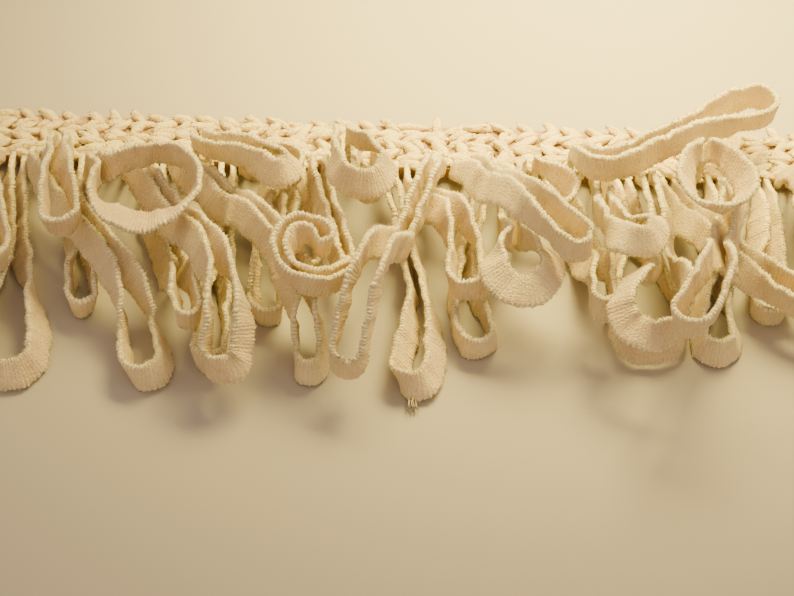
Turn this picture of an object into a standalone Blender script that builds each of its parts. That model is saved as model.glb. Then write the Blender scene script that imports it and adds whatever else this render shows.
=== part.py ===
"""Loop fringe trim: a knitted heading band with a row of soft tape loops along its front edge.

The trim lies on its back. X runs along the trim, -Y is the side the loops fall to, +Z is up.
The origin is the middle of the heading's back face. Sizes below are millimetres and degrees.
"""

import math
from collections import namedtuple

import bmesh
import bpy
import numpy as np

MM = 0.001

# The whole trim
TRIM_LENGTH = 130.0
LANES = 38
GAP = 0.3

# Heading: rows of chain stitches knitted side by side
HEADING_WIDTH = 7.0
HEADING_GROUND = 1.7
STITCH_RISE = 1.0
STITCH_ROWS = 3
STITCHES_PER_ROW = 38
STITCH_SPLITS = 4
CHEVRON = 0.3
STITCH_WAIST = 0.35

# Backing strip that every loop is caught in
BACKING_DEPTH = 2.0
BACKING_HEIGHT = 3.0

# The tape that the loops are made of
TAPE_WIDTH = 4.5
TAPE_THICK = 1.1
ROOT_WIDTH = 2.2
NECK = 3.0
NECK_WIDENS_OVER = 9.0
ROOT_HEIGHT = 1.5
ROOT_BITE = 1.2
LANE = TRIM_LENGTH / LANES
LEG_SPACING = LANE / 2
STATION_STEP = 6.0
STATION_TURN = 36.0
TWIST_SHARE = 0.35
SOFTEN_REACH = 3

# How a loop lies: how steeply tape climbs, and the room kept over what is under it
CLIMB = 1.1
CLEARANCE = 0.35
EASE = 2.5
CELL = 0.25
ROOT_FREE = 3.0
ROOT_STRAIGHT = 5.0
HANDLE = 0.36
HANDLE_WHEN_TURNED = 0.2
ARCH_PEAK = 8.0
ARCH_END = 22.0
LEG_ROOM = 0.72
LIE_FROM = 1.0
LIE_OVER = 9.0
SETTLE_SHARE = 0.7
LIFTED_BY = 0.6
CURL_START_RADIUS = 5.3
CURL_END_RADIUS = 1.7
CURL_STEP = 4.0
SPINE_STEP = 0.5
SELF_LAG = 9.0
LAY_STEP = 3.0
LAY_ROUNDS = 4
ROOT_HELD_FOR = 4.0
FLOOR_MARGIN = 15.0
FLOOR_FRONT = -60.0
FLOOR_DEPTH = 80.0

HEADING_FRONT = -HEADING_WIDTH / 2
BACKING_BACK = HEADING_FRONT - GAP
BACKING_FRONT = BACKING_BACK - BACKING_DEPTH
ROOT_Y = BACKING_FRONT + ROOT_BITE
HEADING_TOP = HEADING_GROUND + STITCH_RISE

# One row for each loop, in the order in which they lie on each other.
# lane: which of the evenly spaced roots it has, from the left.
# tip_x, tip_y: where its spine ends, before any curl.
# leave, aim: the spine's direction at root and tip, from straight forward, + to the right.
# open: width of the loop's eye. eye: how far behind its round end the legs have come together.
# curl: how far the tip rolls on, in degrees.
# lie_r, lie_l: how far the right and left legs lie over to the right.
# flare: how far the tape's upper edge at the tip lies outwards, or inwards where it is negative.
# over_x, over_y: how far that edge leans to the right and to the back as well.
# arch: how high the loop bows up near its root. lift: how high the tip is held above the floor.
Loop = namedtuple(
    "Loop", "lane tip_x tip_y leave aim open eye curl lie_r lie_l flare over_x over_y arch lift"
)
LOOPS = (
    Loop(37, 64.5, -40.5, 0, 5, 7.0, 18, 0, 30, 30, 10, 0, 0, 2, 0),
    Loop(34, 52.9, -33.2, 0, 10, 4.5, 14, 0, 45, 45, 10, 0, 0, 2, 0),
    Loop(32, 45.0, -40.2, 0, 9, 5.1, 14, 0, 45, 45, -20, 0, 0, 2, 0),
    Loop(28, 34.5, -40.8, -2, -10, 9.5, 20, 0, 45, 45, -10, 0, 10, 2, 0),
    Loop(25, 28.1, -37.7, 20, -5, 2.8, 14, 0, 40, 40, 0, 0, 10, 2, 0),
    Loop(22, 12.1, -40.3, -15, 20, 4.8, 12, 0, 20, 20, 0, 0, 0, 1, 0),
    Loop(19, 8.7, -34.4, 25, -20, 4.6, 16, 0, 40, 40, 0, -15, 0, 2, 0),
    Loop(14, -13.0, -27.0, 0, 0, 4.0, 12, 0, 45, 45, 10, 0, 0, 2, 0),
    Loop(13, -18.0, -36.0, 0, 0, 4.0, 16, 0, 45, 45, 10, 0, 0, 2, 0),
    Loop(11, -25.4, -44.4, 0, 0, 3.8, 18, 0, 45, 45, 5, 0, 0, 2, 0),
    Loop(8, -28.1, -41.1, 0, 5, 2.8, 14, 0, 45, 45, 10, 0, 0, 2, 0),
    Loop(5, -43.7, -35.7, 0, 5, 3.3, 14, 0, 45, 45, 10, 0, 0, 2, 0),
    Loop(0, -63.5, -42.0, 0, 0, 6.0, 18, 0, 30, 30, 10, 0, 0, 2, 0),
    Loop(7, -23.7, -48.9, 22, -15, 4.9, 18, 0, 45, 35, -10, -15, 10, 4, 0),
    Loop(2, -53.0, -47.8, 5, 0, 8.4, 20, 0, 50, 40, -35, 0, 0, 2, 0),
    Loop(36, 66.0, -26.0, 5, 45, 5.0, 14, 0, 40, 40, 10, 0, 0, 2, 0),
    Loop(30, 58.5, -34.0, 15, 65, 3.6, 12, 0, 50, 50, 0, 0, 0, 2, 0),
    Loop(35, 64.0, -31.5, 15, 60, 4.0, 14, 0, 45, 45, 10, 0, 0, 3, 0),
    Loop(3, -33.8, -47.4, 22, 0, 5.2, 17, 0, 55, 35, 0, -25, 15, 2, 0),
    Loop(18, 2.1, -47.1, 12, -15, 4.6, 16, 0, -15, -15, 0, -35, 30, 2, 0),
    Loop(9, -11.5, -45.5, 35, 0, 3.6, 14, 0, 40, 50, -5, -10, 10, 3, 0),
    Loop(15, -7.0, -31.1, 0, 10, 2.0, 6, -400, 10, 15, 10, 0, 0, 1, 0),
    Loop(17, -6.0, -18.5, 0, -50, 3.6, 12, 0, -30, -30, 10, 0, 0, 1, 0),
    Loop(16, -3.9, -21.1, 15, 10, 7.4, 7, 0, 20, -20, -30, 0, 0, 0, 0),
    Loop(12, -13.6, -12.5, 10, 70, 4.0, 8, 0, 10, 10, 10, 0, 0, 3, 1),
    Loop(10, -16.5, -18.6, 15, -10, 4.0, 7, 0, 20, -20, -45, 0, 0, 1, 0),
    Loop(4, -46.5, -29.0, 0, 5, 4.4, 12, 0, 40, 20, 10, 0, 0, 3, 0),
    Loop(23, 17.8, -37.1, 2, 10, 8.2, 6, 0, 5, -10, -50, 0, 5, 1, 0),
    Loop(21, 26.0, -32.8, 25, 50, 4.0, 14, 0, 45, 45, 0, 0, 0, 0, 0),
    Loop(24, 21.6, -18.8, 8, -27, 6.5, 8, 0, 20, -20, 20, 0, 0, 0, 0),
    Loop(29, 31.9, -44.5, 5, -30, 8.5, 14, 0, -20, -20, -10, 40, 25, 4, 0),
    Loop(33, 36.8, -48.0, -20, -36, 4.5, 18, 0, -20, -30, 10, 0, 0, 1, 0),
    Loop(31, 47.8, -23.6, 10, 90, 8.3, 9, 0, 10, -10, 35, 0, 0, 1, 1),
    Loop(27, 35.9, -31.0, 0, 65, 5.2, 7, 0, 30, -30, -42, 0, 0, 3, 2),
    Loop(20, -6.9, -48.2, -12, -12, 4.0, 22, 0, 14, -14, 0, 0, 0, 4, 1),
    Loop(6, -28.5, -18.3, -35, 150, 13.5, 8, 0, 10, 10, 40, -25, -35, 2, 0),
    Loop(26, 55.2, 2.3, 6, 92, 5.0, 12, 0, 10, 10, 10, 0, 0, 3, 8),
    Loop(1, -57.0, -32.0, 0, 0, 5.0, 14, 0, 30, 30, 10, 0, 0, 3, 0),
)


def smooth_step(value):
    t = np.clip(value, 0.0, 1.0)
    return t * t * (3.0 - 2.0 * t)


def plan_direction(degrees):
    """Unit vector in the plane, measured from straight forward (-Y), + to the right."""
    turn = math.radians(degrees)
    return np.array([math.sin(turn), -math.cos(turn)])


def spine_points(loop):
    """The loop's middle line seen from above, from its root to the end of its curl."""
    root = np.array([(loop.lane - (LANES - 1) / 2) * LANE, ROOT_Y])
    start = root - np.array([0.0, ROOT_STRAIGHT])
    end = np.array([loop.tip_x, loop.tip_y])
    reach = np.linalg.norm(end - start)
    handle = reach * (HANDLE + HANDLE_WHEN_TURNED * abs(loop.aim - loop.leave) / 180.0)
    first = start + plan_direction(loop.leave) * handle
    second = end - plan_direction(loop.aim) * handle
    t = np.linspace(0.0, 1.0, 120)[:, None]
    line = (1 - t) ** 3 * start + 3 * t * (1 - t) ** 2 * first + 3 * t * t * (1 - t) * second + t**3 * end
    points = [root] + list(line)
    turned = 0.0
    while turned < abs(loop.curl):
        share = turned / abs(loop.curl)
        radius = CURL_START_RADIUS + (CURL_END_RADIUS - CURL_START_RADIUS) * share
        way = plan_direction(loop.aim + math.copysign(turned + CURL_STEP / 2, loop.curl))
        points.append(points[-1] + way * radius * math.radians(CURL_STEP))
        turned += CURL_STEP
    points = np.array(points)
    along = np.concatenate([[0.0], np.cumsum(np.linalg.norm(np.diff(points, axis=0), axis=1))])
    at = np.arange(0.0, along[-1], SPINE_STEP)
    return np.stack([np.interp(at, along, points[:, k]) for k in (0, 1)], axis=1)


def tape_of(loop):
    """The loop's tape at rest height: its middle line, width direction, width and spine place."""
    spine = spine_points(loop)
    ahead = np.gradient(spine, axis=0)
    ahead /= np.linalg.norm(ahead, axis=1)[:, None]
    length = SPINE_STEP * (len(spine) - 1)
    radius = loop.open / 2
    straight = length - radius
    legs = int(straight / SPINE_STEP)
    at = np.arange(legs) * SPINE_STEP
    behind = np.clip((straight - at) / loop.eye, 0.0, 1.0)
    roundness = np.clip(0.5 * loop.eye / radius, 0.5, 1.5)
    half = LEG_SPACING / 2 + (radius - LEG_SPACING / 2) * (1.0 - behind**2) ** roundness
    settled = smooth_step((at - straight + loop.eye) / (SETTLE_SHARE * loop.eye))
    rise = smooth_step((at - LIE_FROM) / LIE_OVER)
    broadness = TAPE_WIDTH / 2
    bottoms_apart = np.arcsin(np.clip((half - LEG_ROOM) / broadness, 0.0, 1.0))
    sides_apart = np.arccos(np.clip(LEG_ROOM / half, 0.0, 1.0))
    forward = np.stack([ahead[:legs, 0], ahead[:legs, 1], np.zeros(legs)], axis=1)
    across = np.stack([-ahead[:legs, 1], ahead[:legs, 0], np.zeros(legs)], axis=1)
    normal = np.array([0.0, 0.0, 1.0])
    middle = np.stack([spine[:legs, 0], spine[:legs, 1], np.full(legs, ROOT_HEIGHT)], axis=1)
    parts = []
    lean = np.array([loop.over_x, loop.over_y, 0.0])
    tilts = []
    for way, lie in ((1.0, loop.lie_r), (-1.0, loop.lie_l)):
        at_tip = loop.flare + (across * way) @ lean
        tilts.append(np.radians(lie * way * rise * (1.0 - settled) + at_tip * settled))
    limit = np.where(tilts[0] * tilts[1] > 0.0, bottoms_apart, sides_apart)
    for way, tilt in zip((1.0, -1.0), tilts):
        tilt = np.clip(tilt, -limit, limit)
        place = middle + across * (way * half)[:, None]
        broad = normal * np.cos(tilt)[:, None] + across * (way * np.sin(tilt))[:, None]
        parts.append((place, broad, at))
    turns = max(6, int(math.pi * radius / SPINE_STEP))
    angle = np.linspace(0.0, math.pi, turns + 2)[1:-1]
    outward = forward[-1] * np.sin(angle)[:, None] + across[-1] * np.cos(angle)[:, None]
    flare = np.clip(np.radians(loop.flare + outward @ lean), -limit[-1], limit[-1])[:, None]
    cap = (
        middle[-1] + outward * radius,
        normal * np.cos(flare) + outward * np.sin(flare),
        at[-1] + radius * np.sin(angle),
    )
    right, left = parts
    place = np.concatenate([right[0], cap[0], left[0][::-1]])
    broad = np.concatenate([right[1], cap[1], left[1][::-1]])
    place_on_spine = np.concatenate([right[2], cap[2], left[2][::-1]])
    bow = smooth_step(place_on_spine / ARCH_PEAK)
    bow = bow - smooth_step((place_on_spine - ARCH_PEAK) / (ARCH_END - ARCH_PEAK))
    place[:, 2] += loop.arch * bow + loop.lift * smooth_step(place_on_spine / (LIFTED_BY * length))
    width = ROOT_WIDTH + (TAPE_WIDTH - ROOT_WIDTH) * smooth_step((place_on_spine - NECK) / NECK_WIDENS_OVER)
    return place, broad, width, place_on_spine


def tape_frame(place, broad):
    """Width and thickness directions, square to the tape's run."""
    run = np.gradient(place, axis=0)
    run /= np.linalg.norm(run, axis=1)[:, None]
    broad = broad - run * (broad * run).sum(1)[:, None]
    broad /= np.linalg.norm(broad, axis=1)[:, None]
    return broad, np.cross(run, broad)


class Pile:
    """The height of what already lies on the floor, on a fine grid."""

    def __init__(self):
        self.low = np.array([-TRIM_LENGTH / 2 - FLOOR_MARGIN, FLOOR_FRONT])
        size = np.array([TRIM_LENGTH + 2 * FLOOR_MARGIN, FLOOR_DEPTH]) / CELL
        self.top = np.zeros(size.astype(int))
        band = int((BACKING_FRONT - CLEARANCE - self.low[1]) / CELL)
        self.top[:, band:] = max(HEADING_TOP, BACKING_HEIGHT)

    def cells(self, points):
        index = ((points[:, :2] - self.low) / CELL).astype(int)
        limit = np.array(self.top.shape) - 2
        return np.clip(index, 1, limit)

    def under(self, points):
        """The highest thing under each point and in the cells beside it."""
        index = self.cells(points)
        best = np.zeros(len(points))
        for i in (-1, 0, 1):
            for j in (-1, 0, 1):
                best = np.maximum(best, self.top[index[:, 0] + i, index[:, 1] + j])
        return best

    def add(self, points):
        index = self.cells(points)
        np.maximum.at(self.top, (index[:, 0], index[:, 1]), points[:, 2])


def section_points(place, broad, width):
    """Points over the whole section at each place, as one array, with the place of each."""
    broad, thin = tape_frame(place, broad)
    found = []
    for share in np.linspace(-0.5, 0.5, 13):
        for side in (-0.5, 0.0, 0.5):
            found.append(place + broad * (width * share)[:, None] + thin * (TAPE_THICK * side))
    return np.stack(found, axis=1)


def eased(need):
    """The gentlest rise along the spine that is nowhere lower than what is needed."""
    steps = np.arange(len(need))
    slope = CLIMB * SPINE_STEP
    cone = np.max(need[None, :] - slope * np.abs(steps[:, None] - steps[None, :]), axis=1)
    reach = int(EASE / SPINE_STEP)
    padded = np.pad(cone, reach, mode="edge")
    widest = np.max([padded[k : k + len(cone)] for k in range(2 * reach + 1)], axis=0)
    weights = np.hanning(2 * reach + 3)[1:-1]
    padded = np.pad(widest, reach, mode="edge")
    return np.convolve(padded, weights / weights.sum(), mode="valid")


def lay(loop, pile):
    """Lays one loop over the pile, further parts of it over nearer ones, and adds it to the pile."""
    place, broad, width, spine = tape_of(loop)
    bins = np.round(spine / SPINE_STEP).astype(int)
    raised = np.zeros(bins.max() + 1)
    for _ in range(LAY_ROUNDS):
        now = place.copy()
        now[:, 2] += raised[bins]
        points = section_points(now, broad, width)
        need = np.zeros(len(raised))
        own = Pile()
        own.top[:] = 0.0
        waiting = 0.0
        for start in np.arange(0.0, spine.max() + LAY_STEP, LAY_STEP):
            here = (spine >= start) & (spine < start + LAY_STEP)
            if not here.any():
                continue
            past = (spine >= waiting) & (spine < start - SELF_LAG)
            if past.any():
                own.add(points[past].reshape(-1, 3))
                waiting = start - SELF_LAG
            flat = points[here].reshape(-1, 3)
            under = np.maximum(pile.under(flat), own.under(flat))
            room = np.where(under > 0.0, CLEARANCE, 0.0)
            short = (under + room - flat[:, 2]).reshape(here.sum(), -1).max(1)
            short += raised[bins[here]]
            short[spine[here] < ROOT_FREE] = 0.0
            np.maximum.at(need, bins[here], short)
        raised = eased(need) * smooth_step(np.arange(len(need)) * SPINE_STEP / ROOT_HELD_FOR)
    place = place.copy()
    place[:, 2] += raised[bins]
    pile.add(section_points(place, broad, width).reshape(-1, 3))
    return place, broad, width


def softened(rows):
    """A running mean along the tape, for judging where it turns."""
    reach = SOFTEN_REACH
    padded = np.pad(rows, ((reach, reach), (0, 0)), mode="edge")
    return np.mean([padded[k : k + len(rows)] for k in range(2 * reach + 1)], axis=0)


def unit(rows):
    return rows / np.linalg.norm(rows, axis=1)[:, None]


def stations(place, broad, width):
    """The tape at fewer places: far apart where it runs straight, close together where it turns."""
    broad, thin = tape_frame(place, broad)
    run = unit(softened(np.cross(broad, thin)))
    facing = unit(softened(broad))
    length = np.linalg.norm(np.diff(place, axis=0), axis=1)
    turn = np.arccos(np.clip((run[1:] * run[:-1]).sum(1), -1, 1))
    twist = np.arccos(np.clip((facing[1:] * facing[:-1]).sum(1), -1, 1))
    step = STATION_STEP * width[1:] / TAPE_WIDTH
    spent = length / step + np.degrees(turn + TWIST_SHARE * twist) / STATION_TURN
    along = np.concatenate([[0.0], np.cumsum(spent)])
    at = np.linspace(0.0, along[-1], int(along[-1]) + 2)
    columns = np.concatenate([place, broad, thin, width[:, None]], axis=1)
    read = np.stack([np.interp(at, along, columns[:, k]) for k in range(10)], axis=1)
    return read[:, 0:3], unit(read[:, 3:6]), unit(read[:, 6:9]), read[:, 9]


def add_strand(bm, place, broad, thin, width):
    """Sweeps the four-sided tape along its stations and closes both ends."""
    rings = []
    for centre, across, through, wide in zip(place, broad, thin, width):
        corners = ((0.5, 0.5), (-0.5, 0.5), (-0.5, -0.5), (0.5, -0.5))
        ring = [
            bm.verts.new((centre + across * (wide * a) + through * (TAPE_THICK * b)) * MM)
            for a, b in corners
        ]
        rings.append(ring)
    for here, there in zip(rings[:-1], rings[1:]):
        for k in range(4):
            m = (k + 1) % 4
            bm.faces.new((here[k], here[m], there[m], there[k]))
    bm.faces.new(rings[0][::-1])
    bm.faces.new(rings[-1])


def add_box(bm, low, high):
    made = bmesh.ops.create_cube(bm, size=1.0)["verts"]
    for vert in made:
        vert.co = [(low[k] if vert.co[k] < 0 else high[k]) * MM for k in range(3)]


def object_from(bm, name, material):
    bmesh.ops.recalc_face_normals(bm, faces=bm.faces)
    mesh = bpy.data.meshes.new(name)
    bm.to_mesh(mesh)
    bm.free()
    made = bpy.data.objects.new(name, mesh)
    bpy.context.scene.collection.objects.link(made)
    mesh.materials.append(material)
    return made


def material_of(name, colour, roughness):
    material = bpy.data.materials.new(name)
    material.use_nodes = True
    shader = material.node_tree.nodes["Principled BSDF"]
    shader.inputs["Base Color"].default_value = (*colour, 1.0)
    shader.inputs["Roughness"].default_value = roughness
    shader.inputs["Metallic"].default_value = 0.0
    return material


def laid_loops():
    pile = Pile()
    return [lay(loop, pile) for loop in LOOPS]


def build_fringe(material):
    strands = bmesh.new()
    for place, broad, width in laid_loops():
        add_strand(strands, *stations(place, broad, width))
    fringe = object_from(strands, "loop_fringe", material)
    strip = bmesh.new()
    half = TRIM_LENGTH / 2
    add_box(strip, (-half, BACKING_FRONT, 0.0), (half, BACKING_BACK, BACKING_HEIGHT))
    backing = object_from(strip, "backing_strip", material)
    backing.hide_render = True
    backing.display_type = "WIRE"
    join = fringe.modifiers.new("caught_in_backing", "BOOLEAN")
    join.operation = "UNION"
    join.object = backing
    return fringe


def stitch_height(along, across):
    """Height of the knit at a place counted in stitches along the trim and rows across it."""
    row = min(int(across), STITCH_ROWS - 1)
    over = across - row
    shifted = along + 0.5 * (row % 2) - CHEVRON * abs(2.0 * over - 1.0)
    crown = 0.5 - 0.5 * math.cos(2.0 * math.pi * shifted)
    fullness = STITCH_WAIST + (1.0 - STITCH_WAIST) * crown
    return HEADING_GROUND + STITCH_RISE * math.sin(math.pi * over) * fullness


def build_heading(material):
    bm = bmesh.new()
    columns = STITCHES_PER_ROW * STITCH_SPLITS
    rows = STITCH_ROWS * STITCH_SPLITS
    grid = []
    for i in range(columns + 1):
        x = TRIM_LENGTH * (i / columns - 0.5)
        line = []
        for j in range(rows + 1):
            y = HEADING_WIDTH * (0.5 - j / rows)
            z = stitch_height(i / STITCH_SPLITS, j / STITCH_SPLITS)
            line.append(bm.verts.new((x * MM, y * MM, z * MM)))
        grid.append(line)
    for i in range(columns):
        for j in range(rows):
            bm.faces.new((grid[i][j], grid[i][j + 1], grid[i + 1][j + 1], grid[i + 1][j]))
    rim = [line[0] for line in grid] + grid[-1][1:]
    rim += [line[-1] for line in grid[-2::-1]] + grid[0][-2:0:-1]
    foot = [bm.verts.new((vert.co.x, vert.co.y, 0.0)) for vert in rim]
    for k in range(len(rim)):
        m = (k + 1) % len(rim)
        bm.faces.new((rim[k], rim[m], foot[m], foot[k]))
    bm.faces.new(foot)
    return object_from(bm, "heading", material)


def main():
    for old in list(bpy.data.objects):
        bpy.data.objects.remove(old)
    knit = material_of("knit", (0.82, 0.72, 0.57), 0.8)
    tape = material_of("tape", (0.80, 0.70, 0.55), 0.7)
    build_heading(knit)
    build_fringe(tape)


main()
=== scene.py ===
"""Loop fringe trim, dressed: velvet tape loops, a knitted heading and a plain studio stage.

The trim lies on its back. X runs along it, -Y is the side the loops fall to, +Z is up. The origin
is the middle of the heading's back face. The loops' sizes are in millimetres and degrees, and
each mesh is written in metres.
"""

import math
from collections import namedtuple

import bpy
import numpy as np
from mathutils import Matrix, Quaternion, Vector


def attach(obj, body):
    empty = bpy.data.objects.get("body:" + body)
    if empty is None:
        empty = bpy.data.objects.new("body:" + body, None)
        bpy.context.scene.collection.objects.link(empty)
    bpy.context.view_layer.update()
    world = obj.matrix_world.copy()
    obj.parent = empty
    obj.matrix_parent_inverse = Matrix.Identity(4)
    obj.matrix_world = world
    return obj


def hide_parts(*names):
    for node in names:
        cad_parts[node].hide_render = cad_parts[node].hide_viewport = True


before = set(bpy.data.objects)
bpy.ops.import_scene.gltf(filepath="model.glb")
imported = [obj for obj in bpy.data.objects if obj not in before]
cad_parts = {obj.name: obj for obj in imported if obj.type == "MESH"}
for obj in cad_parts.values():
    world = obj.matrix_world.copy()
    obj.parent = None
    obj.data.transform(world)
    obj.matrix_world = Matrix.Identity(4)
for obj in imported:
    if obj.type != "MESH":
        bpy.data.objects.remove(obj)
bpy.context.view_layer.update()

bl_info = {
    "name": "Loop fringe trim",
    "version": (1, 0, 0),
    "blender": (4, 5, 0),
    "location": "3D View > Sidebar > Trim",
    "description": "Builds a knitted heading with a row of curling velvet tape loops",
    "category": "Object",
}

MM = 0.001
BODY = "root"

# The whole trim
TRIM_LENGTH = 130.0
LANES = 38
GAP = 0.3

# Heading and the strip that the loops are caught in
HEADING_WIDTH = 7.0
HEADING_TOP = 2.7
BACKING_DEPTH = 2.0
BACKING_HEIGHT = 3.0

# The tape that the loops are made of
TAPE_WIDTH = 4.5
TAPE_THICK = 1.1
ROOT_WIDTH = 2.2
NECK = 3.0
NECK_WIDENS_OVER = 9.0
ROOT_HEIGHT = 1.5
ROOT_BITE = 1.2
LANE = TRIM_LENGTH / LANES
LEG_SPACING = LANE / 2

# The loop's middle line seen from above, its handles as shares of the way from root to tip
SPINE_STEP = 0.5
ROOT_STRAIGHT = 5.0
HANDLE = 0.36
HANDLE_WHEN_TURNED = 0.2
CURL_START_RADIUS = 5.3
CURL_END_RADIUS = 1.7
CURL_STEP = 4.0

# Where along it a loop's legs lie over, bow up, come together and lift
LEG_ROOM = 0.72
LIE_FROM = 1.0
LIE_OVER = 9.0
ARCH_PEAK = 8.0
ARCH_END = 22.0
SETTLE_SHARE = 0.7
LIFTED_BY = 0.6

# How a loop is laid: how steeply tape climbs, and the room kept over what is under it
CLIMB = 1.1
CLEARANCE = 0.35
EASE = 2.5
LAY_STEP = 3.0
LAY_ROUNDS = 4
SELF_LAG = 9.0
ROOT_FREE = 3.0
ROOT_HELD_FOR = 4.0

# The floor's grid of heights
CELL = 0.25
FLOOR_MARGIN = 15.0
FLOOR_FRONT = -60.0
FLOOR_DEPTH = 80.0

HEADING_FRONT = -HEADING_WIDTH / 2
BACKING_BACK = HEADING_FRONT - GAP
BACKING_FRONT = BACKING_BACK - BACKING_DEPTH
ROOT_Y = BACKING_FRONT + ROOT_BITE

# One row for each loop, in the order in which they lie on each other.
# lane: which of the evenly spaced roots it has, from the left.
# tip_x, tip_y: where its spine ends, before any curl.
# leave, aim: the spine's direction at root and tip, from straight forward, + to the right.
# open: width of the loop's eye. eye: how far behind its round end the legs have come together.
# curl: how far the tip rolls on, in degrees.
# lie_r, lie_l: how far the right and left legs lie over to the right.
# flare: how far the tape's upper edge at the tip lies outwards, or inwards where it is negative.
# over_x, over_y: how far that edge leans to the right and to the back as well.
# arch: how high the loop bows up near its root. lift: how high the tip is held above the floor.
Loop = namedtuple(
    "Loop", "lane tip_x tip_y leave aim open eye curl lie_r lie_l flare over_x over_y arch lift"
)
LOOPS = (
    Loop(37, 64.5, -40.5, 0, 5, 7.0, 18, 0, 30, 30, 10, 0, 0, 2, 0),
    Loop(34, 52.9, -33.2, 0, 10, 4.5, 14, 0, 45, 45, 10, 0, 0, 2, 0),
    Loop(32, 45.0, -40.2, 0, 9, 5.1, 14, 0, 45, 45, -20, 0, 0, 2, 0),
    Loop(28, 34.5, -40.8, -2, -10, 9.5, 20, 0, 45, 45, -10, 0, 10, 2, 0),
    Loop(25, 28.1, -37.7, 20, -5, 2.8, 14, 0, 40, 40, 0, 0, 10, 2, 0),
    Loop(22, 12.1, -40.3, -15, 20, 4.8, 12, 0, 20, 20, 0, 0, 0, 1, 0),
    Loop(19, 8.7, -34.4, 25, -20, 4.6, 16, 0, 40, 40, 0, -15, 0, 2, 0),
    Loop(14, -13.0, -27.0, 0, 0, 4.0, 12, 0, 45, 45, 10, 0, 0, 2, 0),
    Loop(13, -18.0, -36.0, 0, 0, 4.0, 16, 0, 45, 45, 10, 0, 0, 2, 0),
    Loop(11, -25.4, -44.4, 0, 0, 3.8, 18, 0, 45, 45, 5, 0, 0, 2, 0),
    Loop(8, -28.1, -41.1, 0, 5, 2.8, 14, 0, 45, 45, 10, 0, 0, 2, 0),
    Loop(5, -43.7, -35.7, 0, 5, 3.3, 14, 0, 45, 45, 10, 0, 0, 2, 0),
    Loop(0, -63.5, -42.0, 0, 0, 6.0, 18, 0, 30, 30, 10, 0, 0, 2, 0),
    Loop(7, -23.7, -48.9, 22, -15, 4.9, 18, 0, 45, 35, -10, -15, 10, 4, 0),
    Loop(2, -53.0, -47.8, 5, 0, 8.4, 20, 0, 50, 40, -35, 0, 0, 2, 0),
    Loop(36, 66.0, -26.0, 5, 45, 5.0, 14, 0, 40, 40, 10, 0, 0, 2, 0),
    Loop(30, 58.5, -34.0, 15, 65, 3.6, 12, 0, 50, 50, 0, 0, 0, 2, 0),
    Loop(35, 64.0, -31.5, 15, 60, 4.0, 14, 0, 45, 45, 10, 0, 0, 3, 0),
    Loop(3, -33.8, -47.4, 22, 0, 5.2, 17, 0, 55, 35, 0, -25, 15, 2, 0),
    Loop(18, 2.1, -47.1, 12, -15, 4.6, 16, 0, -15, -15, 0, -35, 30, 2, 0),
    Loop(9, -11.5, -45.5, 35, 0, 3.6, 14, 0, 40, 50, -5, -10, 10, 3, 0),
    Loop(15, -7.0, -31.1, 0, 10, 2.0, 6, -400, 10, 15, 10, 0, 0, 1, 0),
    Loop(17, -6.0, -18.5, 0, -50, 3.6, 12, 0, -30, -30, 10, 0, 0, 1, 0),
    Loop(16, -3.9, -21.1, 15, 10, 7.4, 7, 0, 20, -20, -30, 0, 0, 0, 0),
    Loop(12, -13.6, -12.5, 10, 70, 4.0, 8, 0, 10, 10, 10, 0, 0, 3, 1),
    Loop(10, -16.5, -18.6, 15, -10, 4.0, 7, 0, 20, -20, -45, 0, 0, 1, 0),
    Loop(4, -46.5, -29.0, 0, 5, 4.4, 12, 0, 40, 20, 10, 0, 0, 3, 0),
    Loop(23, 17.8, -37.1, 2, 10, 8.2, 6, 0, 5, -10, -50, 0, 5, 1, 0),
    Loop(21, 26.0, -32.8, 25, 50, 4.0, 14, 0, 45, 45, 0, 0, 0, 0, 0),
    Loop(24, 21.6, -18.8, 8, -27, 6.5, 8, 0, 20, -20, 20, 0, 0, 0, 0),
    Loop(29, 31.9, -44.5, 5, -30, 8.5, 14, 0, -20, -20, -10, 40, 25, 4, 0),
    Loop(33, 36.8, -48.0, -20, -36, 4.5, 18, 0, -20, -30, 10, 0, 0, 1, 0),
    Loop(31, 47.8, -23.6, 10, 90, 8.3, 9, 0, 10, -10, 35, 0, 0, 1, 1),
    Loop(27, 35.9, -31.0, 0, 65, 5.2, 7, 0, 30, -30, -42, 0, 0, 3, 2),
    Loop(20, -6.9, -48.2, -12, -12, 4.0, 22, 0, 14, -14, 0, 0, 0, 4, 1),
    Loop(6, -28.5, -18.3, -35, 150, 13.5, 8, 0, 10, 10, 40, -25, -35, 2, 0),
    Loop(26, 55.2, 2.3, 6, 92, 5.0, 12, 0, 10, 10, 10, 0, 0, 3, 8),
    Loop(1, -57.0, -32.0, 0, 0, 5.0, 14, 0, 30, 30, 10, 0, 0, 3, 0),
)


def smooth_step(value):
    """From 0 to 1 with a level start and end."""
    t = np.clip(value, 0.0, 1.0)
    return t * t * (3.0 - 2.0 * t)


def plan_direction(degrees):
    """Unit vector in the plane, measured from straight forward (-Y), + to the right."""
    turn = math.radians(degrees)
    return np.array([math.sin(turn), -math.cos(turn)])


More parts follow.
